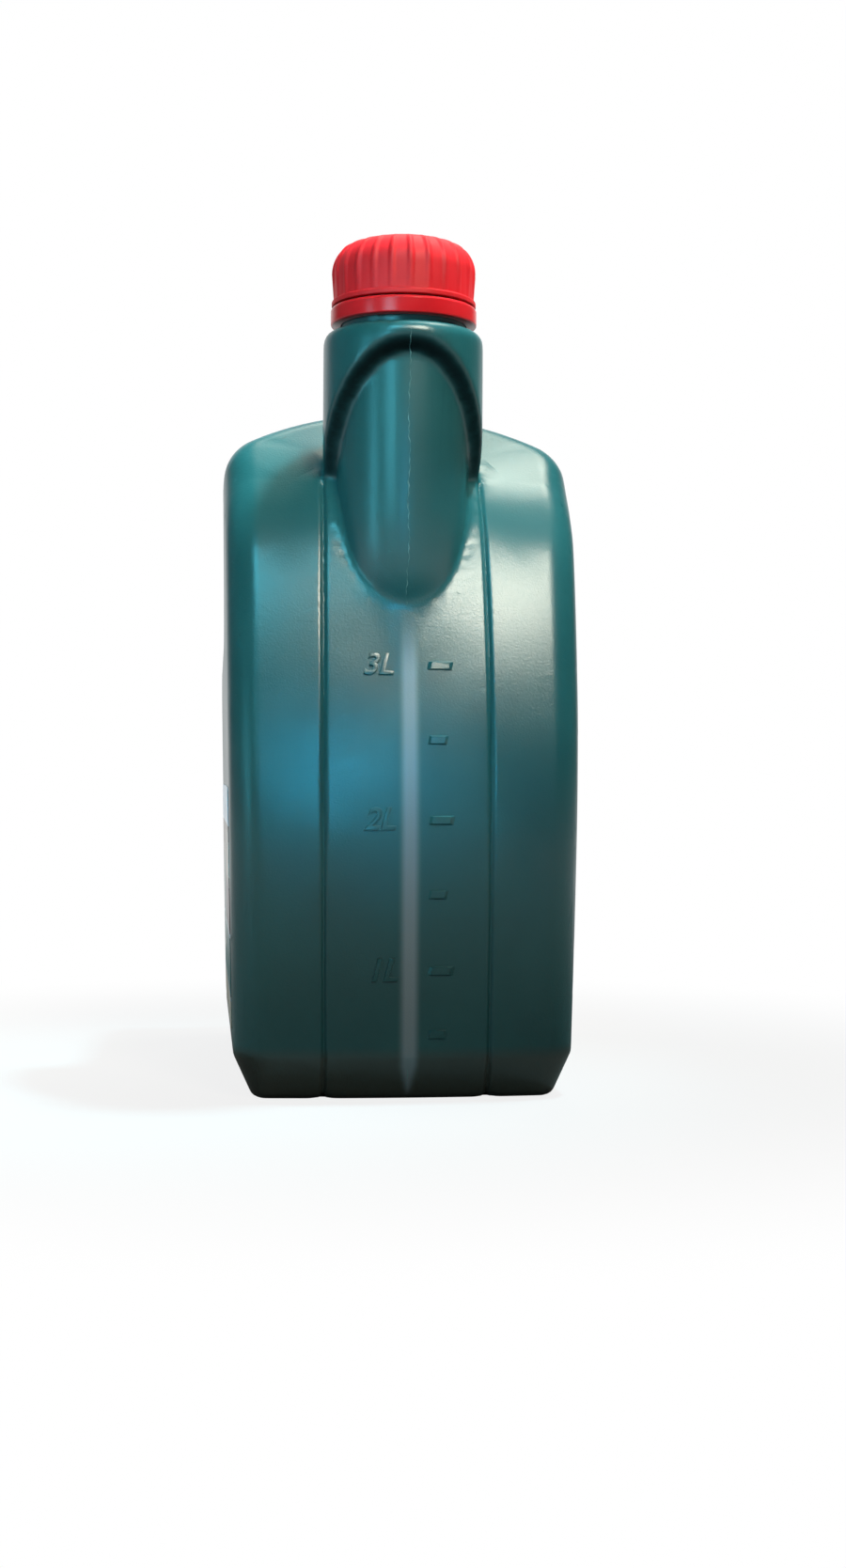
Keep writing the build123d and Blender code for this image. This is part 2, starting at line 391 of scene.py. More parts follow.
def finished(mesh, name, material, body, node=None):
    """Links a mesh as a piece that rides on a body, and stands for a node where one is named."""
    piece = bpy.data.objects.new(name, mesh)
    bpy.context.scene.collection.objects.link(piece)
    mesh.materials.clear()
    mesh.materials.append(material)
    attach(piece, body)
    if node:
        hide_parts(node)
    return piece


def store(mesh, name, values):
    """Stores a value at each point of a mesh."""
    kept = mesh.attributes.new(name, "FLOAT", "POINT")
    kept.data.foreach_set("value", np.array(values, np.float32))


def to_mesh(cells, name):
    """Turns a bmesh into a mesh and frees it."""
    mesh = bpy.data.meshes.new(name)
    cells.to_mesh(mesh)
    cells.free()
    return mesh


def evaluated(mesh, name, add_modifiers):
    """Mesh that a set of modifiers makes of another one."""
    carrier = bpy.data.objects.new(name, mesh)
    bpy.context.scene.collection.objects.link(carrier)
    add_modifiers(carrier)
    depsgraph = bpy.context.evaluated_depsgraph_get()
    result = bpy.data.meshes.new_from_object(carrier.evaluated_get(depsgraph))
    result.name = name
    bpy.data.objects.remove(carrier)
    return result


def rounded_outline(corners, steps=6):
    """Closed outline of (radius, height, rounding) corners, each rounded by its own arc."""
    outline = []
    for number, (radius, height, rounding) in enumerate(corners):
        corner = Vector((radius, height))
        before = (Vector(corners[number - 1][:2]) - corner).normalized()
        after = (Vector(corners[(number + 1) % len(corners)][:2]) - corner).normalized()
        if rounding == 0:
            outline.append(corner)
            continue
        half = before.angle(after) / 2
        first = before * rounding / math.tan(half)
        centre = (before + after).normalized() * rounding / math.sin(half)
        sweep = (first - centre).angle_signed(after * rounding / math.tan(half) - centre)
        for step in range(steps + 1):
            turn = Matrix.Rotation(-sweep * step / steps, 2)
            outline.append(corner + centre + turn @ (first - centre))
    return outline


def lathe(outline, segments, name):
    """Closed solid turned about the spout's axis from a closed outline of (radius, height)."""
    turns = np.arange(segments) * 2 * math.pi / segments
    points = [(r * math.cos(a), SPOUT_Y + r * math.sin(a), z) for r, z in outline for a in turns]
    rings = len(outline)
    faces = []
    for ring in range(rings):
        after = (ring + 1) % rings
        for step in range(segments):
            beside = (step + 1) % segments
            here, there = ring * segments, after * segments
            faces.append((here + step, here + beside, there + beside, there + step))
    mesh = bpy.data.meshes.new(name)
    mesh.from_pydata(points, [], faces)
    cells = bmesh.new()
    cells.from_mesh(mesh)
    bmesh.ops.remove_doubles(cells, verts=cells.verts, dist=0.001 * MM)
    bmesh.ops.dissolve_degenerate(cells, edges=cells.edges, dist=0.0005 * MM)
    loose = [edge for edge in cells.edges if not edge.link_faces]
    bmesh.ops.delete(cells, geom=loose, context="EDGES")
    bmesh.ops.recalc_face_normals(cells, faces=cells.faces)
    bpy.data.meshes.remove(mesh)
    return to_mesh(cells, name)


def smooth_shaded(mesh, angle=40):
    """Smooth shading, with edges sharper than the angle kept."""
    mesh.shade_smooth()
    mesh.set_sharp_from_angle(angle=math.radians(angle))
    return mesh


def set_input(modifier, label, value):
    """Sets a modifier's input by the identifier of the socket with this label."""
    for item in modifier.node_group.interface.items_tree:
        if item.name == label and item.in_out == "INPUT":
            modifier[item.identifier] = value
            return
    raise KeyError(label)


def new_geometry_tree(name, inputs):
    """Geometry tree with a mesh socket at each end and the given (label, type, default) inputs."""
    tree = bpy.data.node_groups.new(name, "GeometryNodeTree")
    tree.interface.new_socket("Geometry", in_out="INPUT", socket_type="NodeSocketGeometry")
    for label, kind, default in inputs:
        socket = tree.interface.new_socket(label, in_out="INPUT", socket_type=kind)
        if default is not None:
            socket.default_value = default
    tree.interface.new_socket("Material", in_out="INPUT", socket_type="NodeSocketMaterial")
    tree.interface.new_socket("Geometry", in_out="OUTPUT", socket_type="NodeSocketGeometry")
    return tree, put(tree, "NodeGroupInput").outputs


def stored(tree, name):
    """Value stored at each point under a name."""
    return put(tree, "GeometryNodeInputNamedAttribute", {"Name": name}, data_type="FLOAT").outputs[0]


def close_tree(tree, given, geometry):
    """Ends a geometry tree in real geometry with its material set."""
    real = put(tree, "GeometryNodeRealizeInstances", {"Geometry": geometry}).outputs[0]
    coated = put(tree, "GeometryNodeSetMaterial", {"Geometry": real, "Material": given["Material"]})
    put(tree, "NodeGroupOutput", {"Geometry": coated.outputs[0]})


def bead_tree():
    """Geometry tree: a round bead along the edges of a path, thinner where its radius share is small."""
    name = "bead_along_path"
    if name in bpy.data.node_groups:
        return bpy.data.node_groups[name]
    tree, given = new_geometry_tree(name, [
        ("Bead radius", "NodeSocketFloat", 1 * MM), ("Sides", "NodeSocketInt", 10),
    ])
    path = put(tree, "GeometryNodeMeshToCurve", {"Mesh": given["Geometry"]}).outputs[0]
    ring = put(tree, "GeometryNodeCurvePrimitiveCircle", {
        "Resolution": given["Sides"], "Radius": given["Bead radius"],
    }).outputs[0]
    bead = put(tree, "GeometryNodeCurveToMesh", {
        "Curve": path, "Profile Curve": ring, "Scale": stored(tree, "share"), "Fill Caps": True,
    }).outputs[0]
    close_tree(tree, given, put(tree, "GeometryNodeSetShadeSmooth", {"Geometry": bead}).outputs[0])
    return tree


def bead_along(points, shares, radius, sides, material, name):
    """Bead mesh along a list of points, each with its share of the full radius."""
    path = bpy.data.meshes.new(name)
    path.from_pydata([tuple(p) for p in points], [(n, n + 1) for n in range(len(points) - 1)], [])
    store(path, "share", shares)

    def along(carrier):
        modifier = carrier.modifiers.new("bead", "NODES")
        modifier.node_group = bead_tree()
        set_input(modifier, "Bead radius", radius)
        set_input(modifier, "Sides", sides)
        set_input(modifier, "Material", material)

    return evaluated(path, name, along)


def rib_tree():
    """Geometry tree: raises ribs round the spout's axis, as far as the mesh's rib share allows."""
    tree, given = new_geometry_tree("ribs_round_axis", [
        ("Count", "NodeSocketInt", 24), ("Rise", "NodeSocketFloat", 0.7 * MM),
        ("Axis Y", "NodeSocketFloat", 0.0),
    ])
    x, y, _ = put(tree, "ShaderNodeSeparateXYZ", {
        "Vector": put(tree, "GeometryNodeInputPosition").outputs[0],
    }).outputs
    angle = math_node(tree, "ARCTAN2", math_node(tree, "SUBTRACT", y, given["Axis Y"]), x)
    wave = math_node(tree, "COSINE", math_node(tree, "MULTIPLY", angle, given["Count"]))
    crest = ramp(tree, wave, 0.35, 0.9)
    rise = product(tree, crest, stored(tree, "rib_share"), given["Rise"])
    outward = put(tree, "ShaderNodeVectorMath", {
        0: put(tree, "GeometryNodeInputNormal").outputs[0], "Scale": rise,
    }, operation="SCALE").outputs[0]
    raised = put(tree, "GeometryNodeSetPosition", {"Geometry": given["Geometry"], "Offset": outward})
    close_tree(tree, given, raised.outputs[0])
    return tree


def mark_tree():
    """Geometry tree: a slanted raised bar on every point, as long and as tilted as the point says."""
    tree, given = new_geometry_tree("litre_marks", [
        ("Height", "NodeSocketFloat", 3 * MM), ("Rise", "NodeSocketFloat", 0.5 * MM),
        ("Slant", "NodeSocketFloat", 0.8 * MM), ("Rounding", "NodeSocketFloat", 0.4 * MM),
    ])

    def bar(width):
        outline = put(tree, "GeometryNodeCurvePrimitiveQuadrilateral", {
            "Width": width, "Height": given["Height"], "Offset": given["Slant"],
        }, mode="PARALLELOGRAM").outputs[0]
        soft = put(tree, "GeometryNodeFilletCurve", {
            "Curve": outline, "Count": 4, "Radius": given["Rounding"], "Limit Radius": True,
        }, mode="POLY").outputs[0]
        face = put(tree, "GeometryNodeFillCurve", {"Curve": soft}, mode="NGONS").outputs[0]
        raised = put(tree, "GeometryNodeExtrudeMesh", {
            "Mesh": face, "Offset Scale": given["Rise"], "Individual": False,
        }).outputs
        top = put(tree, "GeometryNodeScaleElements", {
            "Geometry": raised["Mesh"], "Selection": raised["Top"], "Scale": 0.68,
        }, domain="FACE").outputs[0]
        under = put(tree, "GeometryNodeFlipFaces", {"Mesh": face}).outputs[0]
        both = put(tree, "GeometryNodeJoinGeometry")
        tree.links.new(top, both.inputs[0])
        tree.links.new(under, both.inputs[0])
        return put(tree, "GeometryNodeMergeByDistance", {
            "Geometry": both.outputs[0], "Distance": 0.01 * MM,
        }).outputs[0]

    lean = put(tree, "ShaderNodeCombineXYZ", {"X": stored(tree, "lean")}).outputs[0]
    turn = put(tree, "FunctionNodeEulerToRotation", {"Euler": lean}).outputs[0]
    stretch = put(tree, "ShaderNodeCombineXYZ", {
        "X": stored(tree, "stretch"), "Y": 1.0, "Z": 1.0,
    }).outputs[0]
    points = put(tree, "GeometryNodeMeshToPoints", {"Mesh": given["Geometry"]}).outputs[0]
    width = put(tree, "ShaderNodeValue")
    width.outputs[0].default_value = bpy.context.scene.bottle_sizes.major_mark
    placed = put(tree, "GeometryNodeInstanceOnPoints", {
        "Points": points, "Instance": bar(width.outputs[0]), "Rotation": turn, "Scale": stretch,
    }).outputs[0]
    close_tree(tree, given, placed)
    return tree


# The blown bottle

def closed_island(cells, keep_low):
    """Keeps the outer skin, or the inner wall, of a shell parted at its lip, and closes its hole."""
    cells.verts.ensure_lookup_table()
    start = min(cells.verts, key=lambda vert: vert.co.z)
    outer = {start}
    front = [start]
    while front:
        vert = front.pop()
        for edge in vert.link_edges:
            other = edge.other_vert(vert)
            if other not in outer:
                outer.add(other)
                front.append(other)
    unwanted = [vert for vert in cells.verts if (vert in outer) != keep_low]
    bmesh.ops.delete(cells, geom=unwanted, context="VERTS")
    bmesh.ops.holes_fill(cells, edges=[edge for edge in cells.edges if edge.is_boundary], sides=0)


def shell_walls():
    """The outer skin up to the collar and the inner wall of the solid bottle, each as a closed bmesh."""
    walls = []
    for keep_low in (True, False):
        cells = bmesh.new()
        cells.from_mesh(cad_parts["bottle"].data)
        bmesh.ops.remove_doubles(cells, verts=cells.verts, dist=0.001 * MM)
        top = BOTTLE_HIGH.z - 0.02 * MM
        lip = [face for face in cells.faces if all(vert.co.z > top for vert in face.verts)]
        bmesh.ops.delete(cells, geom=lip, context="FACES_ONLY")
        closed_island(cells, keep_low)
        walls.append(cells)
    return walls


def neighbour_sums(mesh):
    """Function that gives each point's mean neighbour, from the mesh's edges."""
    edges = np.empty(len(mesh.edges) * 2, np.int64)
    mesh.edges.foreach_get("vertices", edges)
    first, second = edges.reshape(-1, 2).T
    count = len(mesh.vertices)
    degree = np.maximum(np.bincount(np.concatenate([first, second]), minlength=count), 1)[:, None]

    def mean(points):
        total = np.zeros_like(points)
        for axis in range(points.shape[1]):
            total[:, axis] = np.bincount(first, points[second, axis], count)
            total[:, axis] += np.bincount(second, points[first, axis], count)
        return total / degree

    return mean


def read_points(mesh, kind="co"):
    """Points of a mesh as rows, or the normals there."""
    rows = np.empty(len(mesh.vertices) * 3)
    mesh.vertices.foreach_get(kind, rows)
    return rows.reshape(-1, 3)


def spout_reach(points):
    """Distance of each point from the spout's axis."""
    return np.hypot(points[:, 0], points[:, 1] - SPOUT_Y)


def fade(value, start, span):
    """0 up to a start, rising to 1 over a span."""
    return np.clip((value - start) / span, 0, 1)


def write_points(mesh, points):
    """Moves a mesh's points to these rows."""
    mesh.vertices.foreach_set("co", points.ravel())
    mesh.update()


def panel_half_width(height):
    """Half width of the bowed front panel at each height."""
    sizes = bpy.context.scene.bottle_sizes
    heights = [0, BELLY_HEIGHT, SHOULDER_HEIGHT]
    widths = [sizes.panel_foot, sizes.panel_belly, sizes.panel_top]
    return np.polyval(np.polyfit(heights, widths, 2), height)


def groove_distance(points, normals):
    """Distance of each point from the nearer panel groove, large where there is none."""
    x, y, z = points.T
    sizes = bpy.context.scene.bottle_sizes
    aside = np.abs(np.abs(x) - panel_half_width(z))
    sideways = (np.abs(normals[:, 0]) > 0.75) | (normals[:, 1] > -0.2)
    on_spout = (spout_reach(points) < COLLAR_REACH) & (z > COLLAR_FOOT)
    behind = (y > SPOUT_Y + 40 * MM) | ((y > FRONT + 12 * MM) & (z < 60 * MM))
    away = sideways & (z > BROW_FOOT) | on_spout | (z > sizes.groove_top) | behind
    return np.where(away, 1.0, aside)


def bend_profile(height, start, bend):
    """Height gained past a bend that starts at a level, with this half height, for a slope of one."""
    above = np.maximum(height - start + bend, 0)
    return np.where(above < 2 * bend, above ** 2 / (4 * bend), above - bend)


def eased_bend(height, start, run, bend, solid_bend):
    """How far an eased bend lies behind the solid's own, for a slope that gains this much."""
    return run * (bend_profile(height, start, bend) - bend_profile(height, start, solid_bend))


def neck_reach(height):
    """Radius of the solid's neck and of its nose at each height."""
    sizes = bpy.context.scene.bottle_sizes
    bow = (sizes.neck_radius ** 2 + sizes.nose_length ** 2) / (2 * sizes.neck_radius)
    below = np.clip(sizes.nose_top - height, 0, sizes.nose_length)
    return sizes.neck_radius - bow + np.sqrt(bow ** 2 - below ** 2)


def ease_front(points):
    """Crowns the front a little across its width and eases the bend of its slope, as blown faces are."""
    sizes = bpy.context.scene.bottle_sizes
    x, y, z = points.T
    share = fade(-y, 20 * MM, 40 * MM)
    crown = sizes.front_bow * np.clip(np.abs(x) / CORNER_X, 0, 1.1) ** 2
    off_spout = fade(spout_reach(points) - neck_reach(z), 0.5 * MM, 4 * MM)
    under_nose = fade(-z, -174 * MM, 22 * MM)
    off_spout = np.maximum(off_spout, under_nose)
    slope = eased_bend(z, sizes.slope_start, sizes.slope_run, sizes.slope_bend, sizes.solid_bend)
    slope += eased_bend(z, sizes.brow_start, sizes.brow_run, sizes.brow_bend, sizes.solid_bend)
    points[:, 1] += share * (crown + slope * off_spout)


def cut_across(cells):
    """Cuts the hollow's large front faces into strips, so that they can follow the eased front."""
    levels = [((0, 0, height * MM), (0, 0, 1)) for height in range(84, 200, 6)]
    strips = [((aside * MM, 0, 0), (1, 0, 0)) for aside in range(-50, 51, 10)]
    for place, normal in levels + strips:
        whole = [*cells.verts, *cells.edges, *cells.faces]
        bmesh.ops.bisect_plane(cells, geom=whole, plane_co=place, plane_no=normal)
    bmesh.ops.triangulate(cells, faces=cells.faces)


def narrow_neck(points, inset):
    """Draws the neck in under the collar, so that the collar's slanting ledge stands out."""
    sizes = bpy.context.scene.bottle_sizes
    _, y, z = points.T
    reach = spout_reach(points)
    on_neck = (np.abs(reach - neck_reach(z) + inset) < 0.6 * MM) & (y < SPOUT_Y + 20 * MM)
    on_neck &= z < sizes.collar_top - 2 * MM
    share = fade(z, 160 * MM, 30 * MM)
    inward = np.where(on_neck, 1 - sizes.neck_draw * share / np.maximum(reach, MM), 1)
    points[:, 0] *= inward
    points[:, 1] = SPOUT_Y + (points[:, 1] - SPOUT_Y) * inward


def skin_mesh(outer):
    """Even skin drawn over the solid's outer wall, with its edges softened as blown plastic is."""
    sizes = bpy.context.scene.bottle_sizes
    surface = BVHTree.FromBMesh(outer)
    cut = [*outer.verts, *outer.edges, *outer.faces]
    bmesh.ops.bisect_plane(
        outer, geom=cut, plane_co=(0, 0, sizes.collar_top + 0.2 * MM), plane_no=(0, 0, 1), clear_outer=True
    )
    bmesh.ops.holes_fill(outer, edges=[edge for edge in outer.edges if edge.is_boundary], sides=0)

    def remesh(carrier):
        modifier = carrier.modifiers.new("grid", "REMESH")
        modifier.mode = "VOXEL"
        modifier.voxel_size = sizes.grid

    mesh = evaluated(to_mesh(outer, "skin_source"), "bottle_skin", remesh)
    points = read_points(mesh)
    for number, point in enumerate(points):
        if point[2] < sizes.collar_top - 1 * MM:
            points[number] = surface.find_nearest(Vector(point))[0]
    mean = neighbour_sums(mesh)
    narrow_neck(points, 0)
    ease_front(points)
    in_groove = groove_distance(points, read_points(mesh, "normal")) < 2.6 * MM
    for _ in range(sizes.groove_passes):
        points[in_groove] = mean(points)[in_groove]
    for _ in range(sizes.soften_passes):
        points += 0.5 * (mean(points) - points)
    x, y, z = points.T
    clear = fade(spout_reach(points) - neck_reach(z), 4 * MM, 6 * MM) * (y < -30 * MM)
    clear *= fade(-np.abs(x), -CORNER_X, 6 * MM)
    clear *= fade(z, 90 * MM, 10 * MM) * fade(-z, -230 * MM, 10 * MM)
    for _ in range(2 * sizes.blend_passes):
        points += clear[:, None] * (mean(points) - points)
    nose = np.exp(-((x / (17 * MM)) ** 2 + ((z - 155 * MM) / (13 * MM)) ** 2)) * (y < SPOUT_Y)
    for _ in range(sizes.blend_passes):
        points += 0.5 * nose[:, None] * (mean(points) - points)
    write_points(mesh, points)
    return mesh


def press_grooves(mesh):
    """Refines the skin beside the front panel's grooves and presses them in."""
    sizes = bpy.context.scene.bottle_sizes
    cells = bmesh.new()
    cells.from_mesh(mesh)
    for reach in (3.2, 2.2):
        cells.verts.ensure_lookup_table()
        cells.normal_update()
        places = np.array([vert.co for vert in cells.verts])
        near = groove_distance(places, np.array([vert.normal for vert in cells.verts])) < reach * MM
        edges = [edge for edge in cells.edges if near[edge.verts[0].index] and near[edge.verts[1].index]]
        bmesh.ops.subdivide_edges(cells, edges=edges, cuts=1, use_grid_fill=True)
        bmesh.ops.triangulate(cells, faces=[face for face in cells.faces if len(face.verts) > 4])
        cells.verts.index_update()
    cells.normal_update()
    places = np.array([vert.co for vert in cells.verts])
    apart = groove_distance(places, np.array([vert.normal for vert in cells.verts]))
    run_out = fade(-places[:, 2], -sizes.groove_top, 3 * MM)
    depth = sizes.groove_depth * run_out * np.exp(-((apart / sizes.groove_spread) ** 2))
    for vert, amount in zip(list(cells.verts), depth):
        if amount > 0.005 * MM:
            vert.co -= vert.normal * amount
    bmesh.ops.recalc_face_normals(cells, faces=cells.faces)
    bpy.data.meshes.remove(mesh)
    return to_mesh(cells, "bottle_skin")


def thin_flats(mesh, share):
    """Thins the points where the skin is flat, and leaves them where it turns."""
    normals = read_points(mesh, "normal")
    bend = np.linalg.norm(neighbour_sums(mesh)(normals) - normals, axis=1)
    flat = np.flatnonzero(bend < 0.004)

    def decimate(carrier):
        group = carrier.vertex_groups.new(name="flat")
        group.add(flat.tolist(), 1.0, "REPLACE")
        modifier = carrier.modifiers.new("thin", "DECIMATE")
        modifier.vertex_group = "flat"
        modifier.ratio = share

    return evaluated(mesh, "bottle_skin", decimate)


def finish_solid():
    """The plain round neck under the cap, with the bead that holds the band."""
    sizes = bpy.context.scene.bottle_sizes
    foot = sizes.collar_top - 3 * MM
    bead_top = sizes.bead_bottom + sizes.bead_height
    radius = sizes.finish_radius
    corners = [
        (0, foot, 0), (radius, foot, 0), (radius, sizes.bead_bottom, 0.3 * MM),
        (sizes.bead_radius, sizes.bead_bottom + 0.3 * MM, 0.35 * MM),
        (sizes.bead_radius, bead_top, 0.5 * MM),
        (radius, bead_top + 0.4 * MM, 0.3 * MM), (radius, BOTTLE_HIGH.z, 0.5 * MM), (0, BOTTLE_HIGH.z, 0),
    ]
    return lathe(rounded_outline(corners), 128, "neck_finish")


def combined(base, others, name):
    """Joins meshes to a base, or cuts them out, as (mesh, operation) pairs say."""
    carriers = []

    def combine(carrier):
        for mesh, operation in others:
            helper = bpy.data.objects.new("helper", mesh)
            bpy.context.scene.collection.objects.link(helper)
            helper.hide_render = True
            carriers.append(helper)
            modifier = carrier.modifiers.new(operation, "BOOLEAN")
            modifier.solver = "MANIFOLD"
            modifier.operation = operation
            modifier.object = helper

    result = evaluated(base, name, combine)
    for helper in carriers:
        bpy.data.objects.remove(helper)
    return result


def paint_ledge_shade(mesh):
    """Stores on the skin the share of painted shade at each point, by how far it lies in the hollow under
    the collar's ledge.
    """
    sizes = bpy.context.scene.bottle_sizes
    points = read_points(mesh)
    _, y, z = points.T
    outside = spout_reach(points) > neck_reach(z) - sizes.neck_draw - 0.5 * MM
    near = outside & (z > sizes.nose_top) & (z < sizes.collar_top - MM) & (y < SPOUT_Y + 18 * MM)
    downward = -read_points(mesh, "normal")[:, 2]
    share = (fade(downward, 0.12, 0.4) * near)[:, None]
    mean = neighbour_sums(mesh)
    for _ in range(2):
        share = np.maximum(share, mean(share))
    for _ in range(2):
        share = 0.5 * share + 0.5 * mean(share)
    store(mesh, "painted_shade", share[:, 0])


def surface_at(x, z):
    """Point and outward normal of the bottle's front at a place seen from straight ahead."""
    bpy.context.view_layer.update()
    start = Vector((x, FRONT - 0.1, z))
    hit, place, normal, _ = bpy.data.objects["bottle_skin"].ray_cast(start, Vector((0, 1, 0)))
    if not hit:
        raise RuntimeError(f"the bottle's front has no surface at {x}, {z}")
    return place, normal


# Operators

class BuildBottle(Operator):
    """Blown bottle: soft outer skin with pressed grooves, plain neck with its bead, and hollow inside"""

    bl_idname = "oil_bottle.build_bottle"
    bl_label = "Bottle"

    def execute(self, context):
        outer, inner = shell_walls()
        for vert in inner.verts:
            if vert.co.z > BOTTLE_HIGH.z - 0.05 * MM:
                vert.co.z += 3 * MM
        cut_across(inner)
        bmesh.ops.recalc_face_normals(inner, faces=inner.faces)
        hollow = to_mesh(inner, "hollow")
        points = read_points(hollow)
        narrow_neck(points, context.scene.bottle_sizes.wall)
        ease_front(points)
        write_points(hollow, points)
        skin = thin_flats(press_grooves(skin_mesh(outer)), 0.3)
        shell = combined(skin, [(finish_solid(), "UNION"), (hollow, "DIFFERENCE")], "bottle_skin")
        smooth_shaded(shell, 50)
        paint_ledge_shade(shell)
        finished(shell, "bottle_skin", bpy.data.materials["blown_teal"], "bottle", "bottle")
        return {"FINISHED"}


class BuildNeckThread(Operator):
    """Round thread on the neck and the one that meets it inside the cap"""

    bl_idname = "oil_bottle.build_threads"
    bl_label = "Threads"

    def helix(self, radius, start, turns, lead):
        angles = np.arange(0, turns * 2 * math.pi, 2 * math.pi / 64)
        rise = start + lead * angles / (2 * math.pi)
        points = np.column_stack([radius * np.cos(angles), SPOUT_Y + radius * np.sin(angles), rise])
        ends = np.minimum(angles, angles[-1] - angles) / 0.35
        return points, np.clip(ends, 0.05, 1)

    def execute(self, context):
        sizes = context.scene.bottle_sizes
        cap = context.scene.cap_sizes
        start = BAND_HIGH.z + 1.9 * MM
        turns = sizes.thread_turns
        lead = sizes.thread_lead
        points, shares = self.helix(sizes.finish_radius - 0.05 * MM, start, turns, lead)
        material = bpy.data.materials["blown_teal"]
        mesh = bead_along(points, shares, sizes.thread_bead, 12, material, "neck_thread")
        finished(mesh, "neck_thread", material, "bottle")
        points, shares = self.helix(cap.bore - 0.2 * MM, start + lead / 2, turns - 0.45, lead)
        material = bpy.data.materials["moulded_red"]
        mesh = bead_along(points, shares, cap.thread_bead, 12, material, "cap_thread")
        finished(mesh, "cap_thread", material, "cap")
        return {"FINISHED"}


class BuildMarks(Operator):
    """Raised litre marks and digits on the front panel"""

    bl_idname = "oil_bottle.build_marks"
    bl_label = "Litre marks"

    # Heights of the marks, from three litres down by half a litre, in millimetres
    heights = (146.4, 121.2, 94.3, 69.4, 43.8, 22.5)
    left_edge = 6.6
    sunk = 0.15
    digits = {0: ("3L", -10.2), 2: ("2L", -9.9), 4: ("1L", -8.7)}

    def execute(self, context):
        sizes = context.scene.bottle_sizes
        places = []
        leans = []
        stretches = []
        for number, height in enumerate(self.heights):
            long_mark = number % 2 == 0
            share = 1.0 if long_mark else sizes.minor_mark / sizes.major_mark
            middle = self.left_edge * MM + share * sizes.major_mark / 2
            place, normal = surface_at(middle, height * MM)
            places.append(place - normal * self.sunk * MM)
            leans.append(math.atan2(-normal.y, normal.z))
            stretches.append(share)
        material = bpy.data.materials["blown_teal"]
        seeds = bpy.data.meshes.new("mark_seeds")
        seeds.from_pydata([tuple(place) for place in places], [], [])
        store(seeds, "lean", leans)
        store(seeds, "stretch", stretches)

        def on_points(carrier):
            modifier = carrier.modifiers.new("marks", "NODES")
            modifier.node_group = mark_tree()
            set_input(modifier, "Height", sizes.mark_height)
            set_input(modifier, "Rise", sizes.mark_rise + self.sunk * MM)
            set_input(modifier, "Material", material)

        marks = evaluated(seeds, "litre_marks", on_points)
        finished(smooth_shaded(marks, 30), "litre_marks", material, "bottle")
        for number, (words, middle) in self.digits.items():
            self.digit_piece(words, middle * MM, self.heights[number] * MM, sizes, material)
        return {"FINISHED"}

    def digit_piece(self, words, middle, height, sizes, material):
        name = "digits_" + words
        text = bpy.data.curves.new(name, "FONT")
        text.body = words
        text.size = sizes.digit_height
        text.shear = 0.28
        text.offset = 0.08 * MM
        text.extrude = sizes.mark_rise * 0.7
        text.bevel_depth = 0.22 * MM
        text.bevel_resolution = 2
        text.align_x = "CENTER"
        text.align_y = "CENTER"
        carrier = bpy.data.objects.new(name, text)
        bpy.context.scene.collection.objects.link(carrier)
        depsgraph = bpy.context.evaluated_depsgraph_get()
        mesh = bpy.data.meshes.new_from_object(carrier.evaluated_get(depsgraph))
        bpy.data.objects.remove(carrier)
        cells = bmesh.new()
        cells.from_mesh(mesh)
        bmesh.ops.remove_doubles(cells, verts=cells.verts, dist=0.002 * MM)
        mesh = to_mesh(cells, name)
        place, normal = surface_at(middle, height)
        mesh.transform(Matrix.Translation(place) @ Matrix.Rotation(math.atan2(-normal.y, normal.z), 4, "X"))
        finished(smooth_shaded(mesh, 30), name, material, "bottle")


class BuildFlash(Operator):
    """Torn flash left on the parting line of the neck and the foot"""

    bl_idname = "oil_bottle.build_flash"
    bl_label = "Parting line"

    def execute(self, context):
        sizes = context.scene.bottle_sizes
        material = bpy.data.materials["pale_flash"]
        for name, top, bottom in (("neck_flash", 259.0, 166.0), ("foot_flash", 11.0, 3.5)):
            heights = np.arange(top, bottom, -0.6)
            waver = 0.28 * np.sin(heights * 0.21) + 0.16 * np.sin(heights * 0.83 + 1.0)
            waver += 0.12 * np.sin(heights * 2.1 + 0.4)
            shares = 0.55 + 0.3 * np.sin(heights * 0.47 + 2.0) + 0.25 * np.sin(heights * 1.7)
            burr = np.exp(-((heights - 207) / 1.6) ** 2) + np.exp(-((heights - 201) / 1.2) ** 2)
            shares = np.clip(shares, 0.15, 1.0) + 1.1 * burr
            shares[[0, -1]] = 0.05
            points = []
            for height, aside in zip(heights, waver):
                points.append(surface_at(aside * MM, height * MM)[0])
            mesh = bead_along(points, shares, sizes.flash_bead, 8, material, name)
            finished(mesh, name, material, "bottle")
        return {"FINISHED"}


